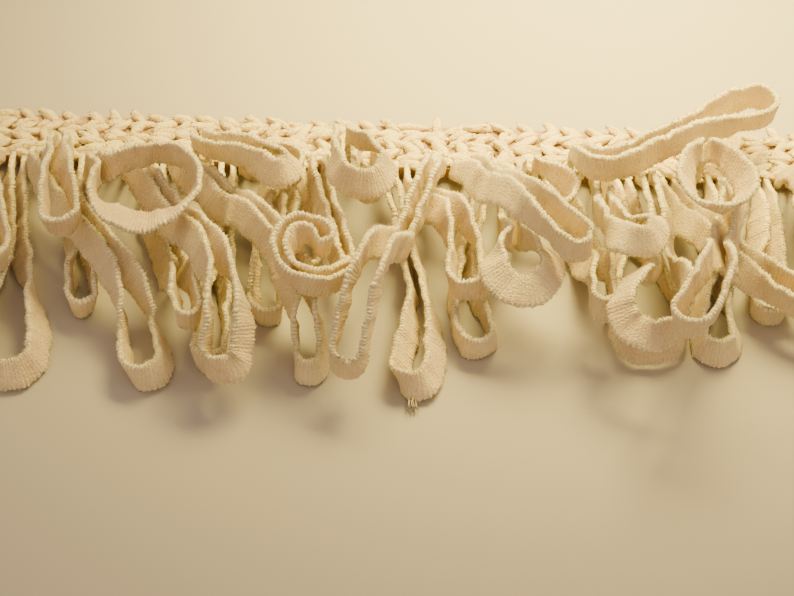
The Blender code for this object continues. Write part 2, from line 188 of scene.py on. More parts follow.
def spine_points(loop):
    """The loop's middle line seen from above, from its root to the end of its curl."""
    root = np.array([(loop.lane - (LANES - 1) / 2) * LANE, ROOT_Y])
    start = root - np.array([0.0, ROOT_STRAIGHT])
    end = np.array([loop.tip_x, loop.tip_y])
    reach = np.linalg.norm(end - start)
    handle = reach * (HANDLE + HANDLE_WHEN_TURNED * abs(loop.aim - loop.leave) / 180.0)
    first = start + plan_direction(loop.leave) * handle
    second = end - plan_direction(loop.aim) * handle
    t = np.linspace(0.0, 1.0, 120)[:, None]
    line = (1 - t) ** 3 * start + 3 * t * (1 - t) ** 2 * first + 3 * t * t * (1 - t) * second + t**3 * end
    points = [root] + list(line)
    turned = 0.0
    while turned < abs(loop.curl):
        share = turned / abs(loop.curl)
        radius = CURL_START_RADIUS + (CURL_END_RADIUS - CURL_START_RADIUS) * share
        way = plan_direction(loop.aim + math.copysign(turned + CURL_STEP / 2, loop.curl))
        points.append(points[-1] + way * radius * math.radians(CURL_STEP))
        turned += CURL_STEP
    points = np.array(points)
    along = np.concatenate([[0.0], np.cumsum(np.linalg.norm(np.diff(points, axis=0), axis=1))])
    at = np.arange(0.0, along[-1], SPINE_STEP)
    return np.stack([np.interp(at, along, points[:, k]) for k in (0, 1)], axis=1)


def tape_of(loop):
    """The loop's tape at rest height: its middle line, width direction, width and spine place."""
    spine = spine_points(loop)
    ahead = np.gradient(spine, axis=0)
    ahead /= np.linalg.norm(ahead, axis=1)[:, None]
    length = SPINE_STEP * (len(spine) - 1)
    radius = loop.open / 2
    straight = length - radius
    legs = int(straight / SPINE_STEP)
    at = np.arange(legs) * SPINE_STEP
    behind = np.clip((straight - at) / loop.eye, 0.0, 1.0)
    roundness = np.clip(0.5 * loop.eye / radius, 0.5, 1.5)
    half = LEG_SPACING / 2 + (radius - LEG_SPACING / 2) * (1.0 - behind**2) ** roundness
    settled = smooth_step((at - straight + loop.eye) / (SETTLE_SHARE * loop.eye))
    rise = smooth_step((at - LIE_FROM) / LIE_OVER)
    broadness = TAPE_WIDTH / 2
    bottoms_apart = np.arcsin(np.clip((half - LEG_ROOM) / broadness, 0.0, 1.0))
    sides_apart = np.arccos(np.clip(LEG_ROOM / half, 0.0, 1.0))
    forward = np.stack([ahead[:legs, 0], ahead[:legs, 1], np.zeros(legs)], axis=1)
    across = np.stack([-ahead[:legs, 1], ahead[:legs, 0], np.zeros(legs)], axis=1)
    normal = np.array([0.0, 0.0, 1.0])
    middle = np.stack([spine[:legs, 0], spine[:legs, 1], np.full(legs, ROOT_HEIGHT)], axis=1)
    parts = []
    lean = np.array([loop.over_x, loop.over_y, 0.0])
    tilts = []
    for way, lie in ((1.0, loop.lie_r), (-1.0, loop.lie_l)):
        at_tip = loop.flare + (across * way) @ lean
        tilts.append(np.radians(lie * way * rise * (1.0 - settled) + at_tip * settled))
    limit = np.where(tilts[0] * tilts[1] > 0.0, bottoms_apart, sides_apart)
    for way, tilt in zip((1.0, -1.0), tilts):
        tilt = np.clip(tilt, -limit, limit)
        place = middle + across * (way * half)[:, None]
        broad = normal * np.cos(tilt)[:, None] + across * (way * np.sin(tilt))[:, None]
        parts.append((place, broad, at))
    turns = max(6, int(math.pi * radius / SPINE_STEP))
    angle = np.linspace(0.0, math.pi, turns + 2)[1:-1]
    outward = forward[-1] * np.sin(angle)[:, None] + across[-1] * np.cos(angle)[:, None]
    flare = np.clip(np.radians(loop.flare + outward @ lean), -limit[-1], limit[-1])[:, None]
    cap = (
        middle[-1] + outward * radius,
        normal * np.cos(flare) + outward * np.sin(flare),
        at[-1] + radius * np.sin(angle),
    )
    right, left = parts
    place = np.concatenate([right[0], cap[0], left[0][::-1]])
    broad = np.concatenate([right[1], cap[1], left[1][::-1]])
    place_on_spine = np.concatenate([right[2], cap[2], left[2][::-1]])
    bow = smooth_step(place_on_spine / ARCH_PEAK)
    bow = bow - smooth_step((place_on_spine - ARCH_PEAK) / (ARCH_END - ARCH_PEAK))
    place[:, 2] += loop.arch * bow + loop.lift * smooth_step(place_on_spine / (LIFTED_BY * length))
    width = ROOT_WIDTH + (TAPE_WIDTH - ROOT_WIDTH) * smooth_step((place_on_spine - NECK) / NECK_WIDENS_OVER)
    return place, broad, width, place_on_spine


def tape_frame(place, broad):
    """Width and thickness directions, square to the tape's run."""
    run = np.gradient(place, axis=0)
    run /= np.linalg.norm(run, axis=1)[:, None]
    broad = broad - run * (broad * run).sum(1)[:, None]
    broad /= np.linalg.norm(broad, axis=1)[:, None]
    return broad, np.cross(run, broad)


class Pile:
    """The height of what already lies on the floor, on a fine grid."""

    def __init__(self):
        self.low = np.array([-TRIM_LENGTH / 2 - FLOOR_MARGIN, FLOOR_FRONT])
        size = np.array([TRIM_LENGTH + 2 * FLOOR_MARGIN, FLOOR_DEPTH]) / CELL
        self.top = np.zeros(size.astype(int))
        band = int((BACKING_FRONT - CLEARANCE - self.low[1]) / CELL)
        self.top[:, band:] = max(HEADING_TOP, BACKING_HEIGHT)

    def cells(self, points):
        index = ((points[:, :2] - self.low) / CELL).astype(int)
        limit = np.array(self.top.shape) - 2
        return np.clip(index, 1, limit)

    def under(self, points):
        """The highest thing under each point and in the cells beside it."""
        index = self.cells(points)
        best = np.zeros(len(points))
        for i in (-1, 0, 1):
            for j in (-1, 0, 1):
                best = np.maximum(best, self.top[index[:, 0] + i, index[:, 1] + j])
        return best

    def add(self, points):
        index = self.cells(points)
        np.maximum.at(self.top, (index[:, 0], index[:, 1]), points[:, 2])


def section_points(place, broad, width):
    """Points over the whole section at each place, as one array, with the place of each."""
    broad, thin = tape_frame(place, broad)
    found = []
    for share in np.linspace(-0.5, 0.5, 13):
        for side in (-0.5, 0.0, 0.5):
            found.append(place + broad * (width * share)[:, None] + thin * (TAPE_THICK * side))
    return np.stack(found, axis=1)


def eased(need):
    """The gentlest rise along the spine that is nowhere lower than what is needed."""
    steps = np.arange(len(need))
    slope = CLIMB * SPINE_STEP
    cone = np.max(need[None, :] - slope * np.abs(steps[:, None] - steps[None, :]), axis=1)
    reach = int(EASE / SPINE_STEP)
    padded = np.pad(cone, reach, mode="edge")
    widest = np.max([padded[k : k + len(cone)] for k in range(2 * reach + 1)], axis=0)
    weights = np.hanning(2 * reach + 3)[1:-1]
    padded = np.pad(widest, reach, mode="edge")
    return np.convolve(padded, weights / weights.sum(), mode="valid")


def lay(loop, pile):
    """Lays one loop over the pile, further parts of it over nearer ones, and adds it to the pile."""
    place, broad, width, spine = tape_of(loop)
    bins = np.round(spine / SPINE_STEP).astype(int)
    raised = np.zeros(bins.max() + 1)
    for _ in range(LAY_ROUNDS):
        now = place.copy()
        now[:, 2] += raised[bins]
        points = section_points(now, broad, width)
        need = np.zeros(len(raised))
        own = Pile()
        own.top[:] = 0.0
        waiting = 0.0
        for start in np.arange(0.0, spine.max() + LAY_STEP, LAY_STEP):
            here = (spine >= start) & (spine < start + LAY_STEP)
            if not here.any():
                continue
            past = (spine >= waiting) & (spine < start - SELF_LAG)
            if past.any():
                own.add(points[past].reshape(-1, 3))
                waiting = start - SELF_LAG
            flat = points[here].reshape(-1, 3)
            under = np.maximum(pile.under(flat), own.under(flat))
            room = np.where(under > 0.0, CLEARANCE, 0.0)
            short = (under + room - flat[:, 2]).reshape(here.sum(), -1).max(1)
            short += raised[bins[here]]
            short[spine[here] < ROOT_FREE] = 0.0
            np.maximum.at(need, bins[here], short)
        raised = eased(need) * smooth_step(np.arange(len(need)) * SPINE_STEP / ROOT_HELD_FOR)
    place = place.copy()
    place[:, 2] += raised[bins]
    pile.add(section_points(place, broad, width).reshape(-1, 3))
    return place, broad, width


# The finished tape: its thickness, the beads on its edges and the ribs and pile on its faces
PLUMP = 0.85
BEAD_PITCH = 0.48
RINGS_PER_BEAD = 4
BEAD_RISE = 0.24
BEAD_MIDDLE = 0.6
BEAD_SWELL = 0.04
BEAD_ROUNDNESS = 0.8
BEAD_UNEVEN = 0.3
FACE_RIB = 0.03
SHAGGY = 0.06
SHAG_ON_FACE = 0.3
CUP = 0.16
SMOOTH_OVER = 2.6
PIECES_OF_TAPE = 6

# How far the tape wanders, in millimetres, degrees and shares of a bead
SWAY = 0.16
WOBBLE = 7.0
PITCH_DRIFT = 0.35
STEADY_AT_ROOT = 12.0

# The length of tape from one bend to the next in each kind of unevenness
OCTAVES = (1.0, 0.61, 0.37)
TWIST_BEND = 13.0
SWAY_BEND = 9.0
RISE_BEND = 7.0
PITCH_BEND = 7.0
BEAD_BEND = 2.3
CUP_BEND = 31.0

# Points round the tape. across and through are shares of half its width and half its thickness,
# and rim is 1 on the beaded edge and 0 on the velvet face.
Section = namedtuple("Section", "across through rim")
SECTION = (
    Section(1.00, 0.00, 1.0),
    Section(0.95, 0.66, 0.95),
    Section(0.82, 0.94, 0.45),
    Section(0.50, 0.86, 0.0),
    Section(-0.50, 0.86, 0.0),
    Section(-0.82, 0.94, 0.45),
    Section(-0.95, 0.66, 0.95),
    Section(-1.00, 0.00, 1.0),
    Section(-0.95, -0.66, 0.95),
    Section(-0.82, -0.94, 0.45),
    Section(-0.50, -0.86, 0.0),
    Section(0.50, -0.86, 0.0),
    Section(0.82, -0.94, 0.45),
    Section(0.95, -0.66, 0.95),
)

# Loose fibres along the tape's edges and on the heading
FIBRES = 43000
HEADING_FIBRES = 12000
FIBRE_LENGTH = (0.2, 0.6)
FIBRE_RADIUS = 0.04
FIBRE_SPREAD = 0.45
FIBRE_BITE = 0.05
FIBRE_ROOT_LOWEST = 0.1
FIBRE_TIP_LOWEST = 0.05
EDGE_RIM = 0.8
ROOT_RINGS = 60

# The one loop whose end is frayed, and how its threads stand and stray along each axis
FRAYED_LANE = 18
FRAYED_THREADS = 12
THREAD_LENGTH = (2.2, 3.8)
THREAD_RADIUS = 0.17
THREAD_ROOT_SPREAD = (0.6, 0.15, 0.25)
THREAD_STRAY = (0.3, 0.1, 0.12)
THREAD_WAY = (0.05, -1.0, -0.1)
THREAD_BITE_SHARE = 0.1
THREAD_ROOT_LOWEST = 0.2
THREAD_TIP_LOWEST = 0.1

# The heading's rows of stitches: where each row's middle lies, how high it rests and which way
# its stitches point
Row = namedtuple("Row", "y rest lean")
STITCH_ROWS = (
    Row(2.35, 1.55, 1),
    Row(0.05, 1.65, -1),
    Row(-2.25, 1.75, 1),
    Row(-4.55, 2.35, -1),
)
STITCHES_PER_ROW = 38
STITCH_PITCH = TRIM_LENGTH / STITCHES_PER_ROW
STITCH_TURN = 24.0
STITCH_TURN_SPREAD = 26.0
STITCH_LUMPS = 0.1
STITCH_TILT = 9.0
STITCH_STRAY = (0.25, 0.18, 0.12)
STITCH_SIZES = (0.8, 1.12)
STITCH_FURTHEST = TRIM_LENGTH / 2 - 0.55 * STITCH_PITCH

# One leg of a stitch: half its length, width and height, how far it bows and the gap in a pair
LEG_HALF_LENGTH = 0.72 * STITCH_PITCH
LEG_HALF_WIDTH = 0.74
LEG_HALF_HEIGHT = 0.66
LEG_BOW = 0.25
LEGS_APART = 0.55
LEG_SEGMENTS = 12
LEG_RINGS = 9

# The band under the stitches, higher over the loops' roots, with a row of slight knots
BAND_BACK = 3.5
BAND_FRONT = -5.7
BAND_COLUMNS = 260
BAND_ROWS = 18
BAND_TOP = 1.45
ROOTS_TOP = 0.75
ROOTS_START = 1.0
ROOTS_OVER = 1.5
KNOT_RISE = 0.18
BAND_SMOOTH_UNDER = 50.0

# Scales of the noises in the materials, in waves to a metre
FACE_PATCHES = 240.0
YARN_PATCHES = 420.0
RIB_WANDER = 900.0
GLINT_PATCHES = 1500.0
YARN_FLUFF = 3000.0
VELVET_PILE = 3600.0

# Depths of bumps and the heights between which the yarn is painted darker, as shade in its hollows, in
# metres
RIB_BUMP = 0.00012
PILE_BUMP = 0.00035
FLUFF_BUMP = 0.0005
YARN_SHADE_FROM = 0.0013
YARN_SHADE_TO = 0.0025
GLOW_DEPTH = 0.0006
GLOW_RADIUS = (1.0, 0.7, 0.4)

# The stage
FLOOR_SIZE = 2400.0
FLOOR_DROP = 0.05
TARGET = (0.0, -31.5, 3.0)
ELEVATION = 50.0
DISTANCE = 300.0
HALF_VIEW = 55.5
ROLL = 1.8
SENSOR = 36.0
NEAREST = 10.0
LIGHT_PLACE = (42.0, 70.0, 120.0)
LIGHT_AIM = (27.0, 35.0, 0.0)
LIGHT_SIZE = 100.0
LIGHT_SPREAD = 80.0


def wave_noise(at, wavelength, seed):
    """A smooth random line from -1 to 1 along the tape, with bends about a wavelength apart."""
    rng = np.random.default_rng(seed)
    total = np.zeros(len(at))
    for octave in OCTAVES:
        phase = rng.uniform(0.0, 2.0 * math.pi)
        total += np.sin(2.0 * math.pi * at / (wavelength * octave) + phase) / len(OCTAVES)
    return total


def blurred(rows, reach):
    """Each column of the rows evened out over so many rows on each side."""
    weights = np.hanning(2 * reach + 3)[1:-1]
    weights /= weights.sum()
    padded = np.pad(rows, ((reach, reach), (0, 0)), mode="edge")
    columns = [np.convolve(column, weights, mode="valid") for column in padded.T]
    return np.stack(columns, axis=1)


def close_rings(place, broad, width, step, seed):
    """The laid tape at close, even steps, smoothed, with a slight twist here and there."""
    length = np.linalg.norm(np.diff(place, axis=0), axis=1)
    along = np.concatenate([[0.0], np.cumsum(length)])
    at = np.arange(0.0, along[-1], step)
    columns = np.concatenate([place, broad, width[:, None]], axis=1)
    read = np.stack([np.interp(at, along, columns[:, k]) for k in range(7)], axis=1)
    read = blurred(read, int(SMOOTH_OVER / 2 / step))
    across, through = tape_frame(read[:, :3], read[:, 3:6])
    free = smooth_step(np.minimum(at, at[-1] - at) / STEADY_AT_ROOT)
    twist = np.radians(WOBBLE) * wave_noise(at, TWIST_BEND, seed) * free
    turned = across * np.cos(twist)[:, None] + through * np.sin(twist)[:, None]
    through = through * np.cos(twist)[:, None] - across * np.sin(twist)[:, None]
    aside = SWAY * free * wave_noise(at, SWAY_BEND, seed + 5)
    over = SWAY * free * wave_noise(at, RISE_BEND, seed + 6)
    middle = read[:, :3] + turned * aside[:, None] + through * over[:, None]
    return at, middle, turned, through, read[:, 6]


def tape_rings(place, broad, width, sizes, seed):
    """Points round the tape at every ring, with its beaded edges, ribs and cupped face."""
    step = sizes.bead_pitch / MM / RINGS_PER_BEAD
    at, middle, across, through, width = close_rings(place, broad, width, step, seed)
    beads = at / (step * RINGS_PER_BEAD) + PITCH_DRIFT * wave_noise(at, PITCH_BEND, seed + 1)
    bead = np.abs(np.sin(math.pi * beads)) ** BEAD_ROUNDNESS
    bead *= 1.0 - BEAD_UNEVEN + BEAD_UNEVEN * wave_noise(at, BEAD_BEND, seed + 2)
    cup = CUP * wave_noise(at, CUP_BEND, seed + 3) + 0.5 * CUP
    rng = np.random.default_rng(seed + 4)
    rings = []
    for point in SECTION:
        shag = rng.normal(0.0, SHAGGY * (SHAG_ON_FACE + (1.0 - SHAG_ON_FACE) * point.rim), len(at))
        side = math.copysign(1.0, point.across)
        out = width / 2 * point.across + side * shag
        out = out + side * point.rim * sizes.bead_rise / MM * (bead - BEAD_MIDDLE)
        face = np.sign(point.through)
        rib = BEAD_SWELL * point.rim + FACE_RIB * (1.0 - point.rim)
        swell = PLUMP / 2 * point.through + face * (bead * rib + shag) - cup * (1.0 - point.across**2)
        rings.append(middle + across * out[:, None] + through * swell[:, None])
    rings = np.stack(rings, axis=1)
    rings[..., 2] = np.maximum(rings[..., 2], 0.0)
    return beads, rings


def new_mesh(name, points, corners, counts):
    """A mesh from its points in millimetres, its faces' corners in one row and each one's count."""
    mesh = bpy.data.meshes.new(name)
    mesh.vertices.add(len(points))
    mesh.vertices.foreach_set("co", (points * MM).astype(np.float32).ravel())
    mesh.loops.add(len(corners))
    mesh.loops.foreach_set("vertex_index", corners.astype(np.int32))
    mesh.polygons.add(len(counts))
    mesh.polygons.foreach_set("loop_start", (np.cumsum(counts) - counts).astype(np.int32))
    mesh.polygons.foreach_set("loop_total", counts.astype(np.int32))
    mesh.update(calc_edges=True)
    return mesh


def placed(mesh):
    """An object for a finished mesh, under the mesh's name."""
    made = bpy.data.objects.new(mesh.name, mesh)
    bpy.context.scene.collection.objects.link(made)
    return made


def ring_mesh(name, strands):
    """One closed mesh of many tubes. strands holds (rib count, rings, tint) for each."""
    sides = len(SECTION)
    points, corners, uvs, rims, tints = [], [], [], [], []
    caps = []
    base = 0
    rim_of_side = np.array([point.rim for point in SECTION])
    for count, rings, tint in strands:
        n = len(rings)
        points.append(rings.reshape(-1, 3))
        i, k = np.meshgrid(np.arange(n - 1), np.arange(sides), indexing="ij")
        k2 = (k + 1) % sides
        here, beyond = i * sides, (i + 1) * sides
        quad = np.stack([here + k, here + k2, beyond + k2, beyond + k], axis=-1)
        corners.append(quad.reshape(-1, 4) + base)
        u = np.stack([count[i], count[i], count[i + 1], count[i + 1]], axis=-1)
        v = np.stack([k, k + 1, k + 1, k], axis=-1) / sides
        uvs.append(np.stack([u, v], axis=-1).reshape(-1, 2))
        rims.append(np.tile(rim_of_side, n))
        tints.append(np.full(n * sides, tint))
        caps.append(np.arange(sides)[::-1] + base)
        caps.append(np.arange(sides) + base + (n - 1) * sides)
        base += n * sides
    quads = np.concatenate(corners)
    corners = np.concatenate([quads.ravel(), np.concatenate(caps)])
    counts = np.concatenate([np.full(len(quads), 4), np.full(len(caps), sides)])
    mesh = new_mesh(name, np.concatenate(points), corners, counts)
    mesh.polygons.foreach_set("use_smooth", np.ones(len(counts), bool))
    ribs = mesh.uv_layers.new(name="ribs")
    flat = np.concatenate(uvs + [np.zeros((len(caps) * sides, 2))])
    ribs.data.foreach_set("uv", flat.astype(np.float32).ravel())
    for label, values in (("rim", rims), ("tint", tints)):
        layer = mesh.attributes.new(label, "FLOAT", "POINT")
        layer.data.foreach_set("value", np.concatenate(values).astype(np.float32))
    mesh.validate()
    return placed(mesh)


def needles_mesh(name, roots, ways, lengths, radii):
    """Many thin three-sided fibres in one mesh, each a closed pointed needle."""
    askew = np.array([0.31, 0.53, 0.79])
    aside = np.cross(ways, askew)
    aside /= np.linalg.norm(aside, axis=1)[:, None]
    other = np.cross(ways, aside)
    corners = []
    for k in range(3):
        turn = 2.0 * math.pi * k / 3
        corners.append(roots + (aside * math.cos(turn) + other * math.sin(turn)) * radii[:, None])
    points = np.stack(corners + [roots + ways * lengths[:, None]], axis=1).reshape(-1, 3)
    faces = np.array([[0, 1, 3], [1, 2, 3], [2, 0, 3], [2, 1, 0]])
    index = (np.arange(len(roots))[:, None, None] * 4 + faces[None]).reshape(-1, 3)
    return placed(new_mesh(name, points, index.ravel(), np.full(len(index), 3)))


def deselect_all():
    if bpy.context.object and bpy.context.object.mode != "OBJECT":
        bpy.ops.object.mode_set(mode="OBJECT")
    for item in bpy.context.selected_objects:
        item.select_set(False)


def settle(piece, slot, *nodes):
    """Makes a finished piece ride on the trim and stand for its CAD nodes. Its slot is not used."""
    if nodes:
        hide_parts(*nodes)
    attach(piece, BODY)


def maths(tree, operation, first, second=0.0):
    """A sum on two values, each a number or another node's output."""
    node = tree.nodes.new("ShaderNodeMath")
    node.operation = operation
    for k, value in enumerate((first, second)):
        if isinstance(value, bpy.types.NodeSocket):
            tree.links.new(value, node.inputs[k])
        else:
            node.inputs[k].default_value = value
    return node.outputs[0]


def blend_of(tree, factor, first, second):
    """A colour between two others, each a colour or another node's output."""
    node = tree.nodes.new("ShaderNodeMix")
    node.data_type = "RGBA"
    inputs = [node.inputs[0], node.inputs[6], node.inputs[7]]
    for socket, value in zip(inputs, (factor, first, second)):
        if isinstance(value, bpy.types.NodeSocket):
            tree.links.new(value, socket)
        else:
            socket.default_value = value if isinstance(value, float) else (*value, 1.0)
    return node.outputs[2]


def noise_of(tree, coordinates, scale, detail=3.0):
    node = tree.nodes.new("ShaderNodeTexNoise")
    node.inputs["Scale"].default_value = scale
    node.inputs["Detail"].default_value = detail
    tree.links.new(coordinates, node.inputs["Vector"])
    return node.outputs[0]


def attribute_of(tree, name):
    node = tree.nodes.new("ShaderNodeAttribute")
    node.attribute_name = name
    return node.outputs["Fac"]


def ranged(tree, value, source, target):
    """Maps the source range of a value onto the target range, held at both ends."""
    node = tree.nodes.new("ShaderNodeMapRange")
    for name, number in zip(("From Min", "From Max", "To Min", "To Max"), (*source, *target)):
        node.inputs[name].default_value = number
    tree.links.new(value, node.inputs["Value"])
    return node.outputs[0]


def bump_of(tree, height, distance, strength, under=None):
    node = tree.nodes.new("ShaderNodeBump")
    node.inputs["Strength"].default_value = strength
    node.inputs["Distance"].default_value = distance
    tree.links.new(height, node.inputs["Height"])
    if under is not None:
        tree.links.new(under, node.inputs["Normal"])
    return node.outputs[0]


def cloth_shader(name, sheen, sheen_tint, subsurface, specular):
    """A Principled material with the constants that velvet and yarn share."""
    material = bpy.data.materials.new(name)
    material.use_nodes = True
    shader = material.node_tree.nodes["Principled BSDF"]
    shader.inputs["Metallic"].default_value = 0.0
    shader.inputs["Sheen Weight"].default_value = sheen
    shader.inputs["Sheen Roughness"].default_value = 0.35
    shader.inputs["Sheen Tint"].default_value = (*sheen_tint, 1.0)
    shader.inputs["Subsurface Weight"].default_value = subsurface
    shader.inputs["Subsurface Radius"].default_value = GLOW_RADIUS
    shader.inputs["Subsurface Scale"].default_value = GLOW_DEPTH
    shader.inputs["Specular IOR Level"].default_value = specular
    return material, material.node_tree, shader


def velvet_tape(colours):
    """Warm velvet faces with cross ribs and painted shade in their grooves, and beaded edges painted paler
    as a highlight for their silky shine, which are also made less rough.
    """
    material, tree, shader = cloth_shader(
        "velvet_tape", sheen=0.35, sheen_tint=(1.0, 0.92, 0.66), subsurface=0.1, specular=0.4
    )
    place = tree.nodes.new("ShaderNodeTexCoord").outputs["Object"]
    rim = attribute_of(tree, "rim")
    ribs = tree.nodes.new("ShaderNodeUVMap")
    ribs.uv_map = "ribs"
    split = tree.nodes.new("ShaderNodeSeparateXYZ")
    tree.links.new(ribs.outputs[0], split.inputs[0])
    patches = ranged(tree, noise_of(tree, place, FACE_PATCHES), (0.36, 0.62), (0.0, 1.0))
    pile = noise_of(tree, place, VELVET_PILE, 4.0)
    wander = maths(tree, "SUBTRACT", noise_of(tree, place, RIB_WANDER), 0.5)
    ribs_at = maths(tree, "ADD", split.outputs["X"], maths(tree, "MULTIPLY", wander, 0.7))
    crest = maths(tree, "ABSOLUTE", maths(tree, "SINE", maths(tree, "MULTIPLY", ribs_at, math.pi)))
    # Painted shade: the grooves between the ribs and beads are darkened towards the groove colour.
    groove_shade = maths(tree, "POWER", maths(tree, "SUBTRACT", 1.0, crest), 1.3)
    # The border mask gives the rims, and the bead crests more than the grooves, the paler edge colour: a
    # painted highlight for the shine of the cut pile ends. Its lower roughness there is real shine.
    by_pile = maths(tree, "MULTIPLY", maths(tree, "SUBTRACT", pile, 0.5), 0.7)
    by_crest = maths(tree, "MULTIPLY", maths(tree, "SUBTRACT", crest, 0.6), 0.5)
    frayed = maths(tree, "ADD", maths(tree, "ADD", rim, by_pile), by_crest)
    border = ranged(tree, frayed, (0.5, 0.95), (0.0, 1.0))
    face = blend_of(tree, patches, tuple(colours.face), tuple(colours.face_deep))
    paler = maths(tree, "MULTIPLY", attribute_of(tree, "tint"), 0.25)
    face = blend_of(tree, paler, face, tuple(colours.edge))
    # Flecks of the paler edge colour where the pile noise, which also sets the pile bump, is highest.
    pile_flecks = maths(tree, "MULTIPLY", ranged(tree, pile, (0.42, 0.7), (0.0, 1.0)), 0.35)
    face = blend_of(tree, pile_flecks, face, tuple(colours.edge))
    face = blend_of(tree, maths(tree, "MULTIPLY", groove_shade, 0.15), face, tuple(colours.groove_shade))
    # Painted glints: patches of the edge fade towards the face colour, so the painted highlight on the
    # edges is uneven.
    glint_patches = ranged(tree, noise_of(tree, place, GLINT_PATCHES), (0.35, 0.6), (0.45, 0.0))
    edge = blend_of(tree, glint_patches, tuple(colours.edge), tuple(colours.face))
    # Painted shade in the gaps between the edge beads.
    edge = blend_of(tree, maths(tree, "MULTIPLY", groove_shade, 0.45), edge, tuple(colours.groove_shade))
    tree.links.new(blend_of(tree, border, face, edge), shader.inputs["Base Color"])
    ribbed = bump_of(tree, crest, RIB_BUMP, 0.5)
    tree.links.new(bump_of(tree, pile, PILE_BUMP, 1.0, ribbed), shader.inputs["Normal"])
    tree.links.new(ranged(tree, border, (0.0, 1.0), (0.85, 0.4)), shader.inputs["Roughness"])
    return material


def knit_yarn(name, pale, deep):
    """Soft fluffy yarn, pale with deeper patches at random, and painted shade that darkens it the lower it
    lies, in its hollows.
    """
    material, tree, shader = cloth_shader(
        name, sheen=0.4, sheen_tint=(1.0, 0.94, 0.7), subsurface=0.1, specular=0.3
    )
    place = tree.nodes.new("ShaderNodeTexCoord").outputs["Object"]
    split = tree.nodes.new("ShaderNodeSeparateXYZ")
    tree.links.new(place, split.inputs[0])
    # Painted shade: the lower the yarn lies, the closer it comes to the deep colour.
    hollow_shade = ranged(tree, split.outputs["Z"], (YARN_SHADE_FROM, YARN_SHADE_TO), (1.0, 0.0))
    patches = ranged(tree, noise_of(tree, place, YARN_PATCHES), (0.48, 0.68), (0.0, 0.6))
    patches = maths(tree, "MAXIMUM", patches, hollow_shade)
    fluff = noise_of(tree, place, YARN_FLUFF, 4.0)
    tree.links.new(blend_of(tree, patches, tuple(pale), tuple(deep)), shader.inputs["Base Color"])
    tree.links.new(ranged(tree, fluff, (0.0, 1.0), (0.7, 0.9)), shader.inputs["Roughness"])
    tree.links.new(bump_of(tree, fluff, FLUFF_BUMP, 1.0), shader.inputs["Normal"])
    return material


def colour_property(name, description, default):
    return bpy.props.FloatVectorProperty(
        name=name, description=description, default=default, size=3, min=0.0, max=1.0, subtype="COLOR"
    )


class TapeSizes(bpy.types.PropertyGroup):
    bead_pitch: bpy.props.FloatProperty(
        name="Bead pitch", description="Length of tape from one edge bead to the next",
        default=BEAD_PITCH * MM, min=0.0003, max=0.002, precision=5, unit="LENGTH",
    )
    bead_rise: bpy.props.FloatProperty(
        name="Bead rise", description="How far a bead stands out of the tape's edge",
        default=BEAD_RISE * MM, min=0.0, max=0.0005, precision=5, unit="LENGTH",
    )
    fibres: bpy.props.IntProperty(
        name="Fibres", description="Number of loose fibres along the tape's edges",
        default=FIBRES, min=0, max=49000,
    )


class TrimColours(bpy.types.PropertyGroup):
    face: colour_property("Face", "Velvet face of the tape", (0.78, 0.615, 0.28))
    face_deep: colour_property("Face, deep", "Darker patches of the velvet face", (0.64, 0.465, 0.22))
    # Paler than the face, as a painted highlight for the shine of the edge beads.
    edge: colour_property("Edge", "Beaded edges of the tape", (1.0, 0.94, 0.52))
    # Painted shade for the bottom of the grooves between ribs and beads.
    groove_shade: colour_property("Groove", "Bottom of the grooves between ribs and beads", (0.52, 0.34, 0.2))
    yarn: colour_property("Yarn", "Yarn of the heading", (0.96, 0.82, 0.34))
    # Random patches of the yarn, and painted shade in its hollows.
    yarn_deep_and_shade: colour_property("Yarn, deep", "Patches and hollows of the heading", (0.68, 0.45, 0.21))
    # Painted shade between the stitches.
    pit_shade: colour_property("Pit", "The heading's band deep between its stitches", (0.40, 0.25, 0.12))


class StageSettings(bpy.types.PropertyGroup):
    floor: colour_property("Floor", "Plain pale floor", (0.40, 0.37, 0.285))
    key_power: bpy.props.FloatProperty(
        name="Key light", description="Power of the soft light above the back of the heading",
        default=0.5, min=0.0, max=100.0, unit="POWER",
    )
    key_colour: colour_property("Key colour", "Colour of the soft light", (1.0, 0.76, 0.22))
    sky: bpy.props.FloatProperty(
        name="Sky", description="Strength of the even light from all round",
        default=0.94, min=0.0, max=5.0,
    )
    sky_colour: colour_property("Sky colour", "Colour of the even light", (1.0, 0.76, 0.63))


class TRIM_OT_tape_loops(bpy.types.Operator):
    """Lays the 38 tape loops over each other and makes them in a few joined pieces"""

    bl_idname = "trim.tape_loops"
    bl_label = "Tape loops"

    def execute(self, context):
        sizes = context.scene.trim_tape
        material = velvet_tape(context.scene.trim_colours)
        rng = np.random.default_rng(11)
        strands = {}
        pile = Pile()
        for loop in LOOPS:
            place, broad, width = lay(loop, pile)
            count, rings = tape_rings(place, broad, width, sizes, 100 * loop.lane)
            strands[loop.lane] = (count, rings, rng.uniform())
        share = LANES / PIECES_OF_TAPE
        for k in range(PIECES_OF_TAPE):
            lanes = [lane for lane in range(LANES) if int(lane / share) == k]
            piece = ring_mesh("tape_loops_%d" % (k + 1), [strands[lane] for lane in lanes])
            piece.data.materials.append(material)
            settle(piece, "tape", "loop_fringe")
        make_edge_fibres(strands, sizes, material)
        make_frayed_end(strands[FRAYED_LANE][1], material)
        return {"FINISHED"}


def make_edge_fibres(strands, sizes, material):
    """Short loose fibres that stand out of the tape's beaded edges."""
    rims = [k for k, point in enumerate(SECTION) if point.rim > EDGE_RIM]
    roots, ways = [], []
    for lane in sorted(strands):
        rings = strands[lane][1]
        middle = rings.mean(axis=1)
        inside = slice(ROOT_RINGS, len(rings) - ROOT_RINGS)
        for k in rims:
            roots.append(rings[inside, k])
            ways.append(rings[inside, k] - middle[inside])
    roots, ways = np.concatenate(roots), np.concatenate(ways)
    dress_fibres(fibres_on("edge_fibres", roots, ways, sizes.fibres, seed=5), material)


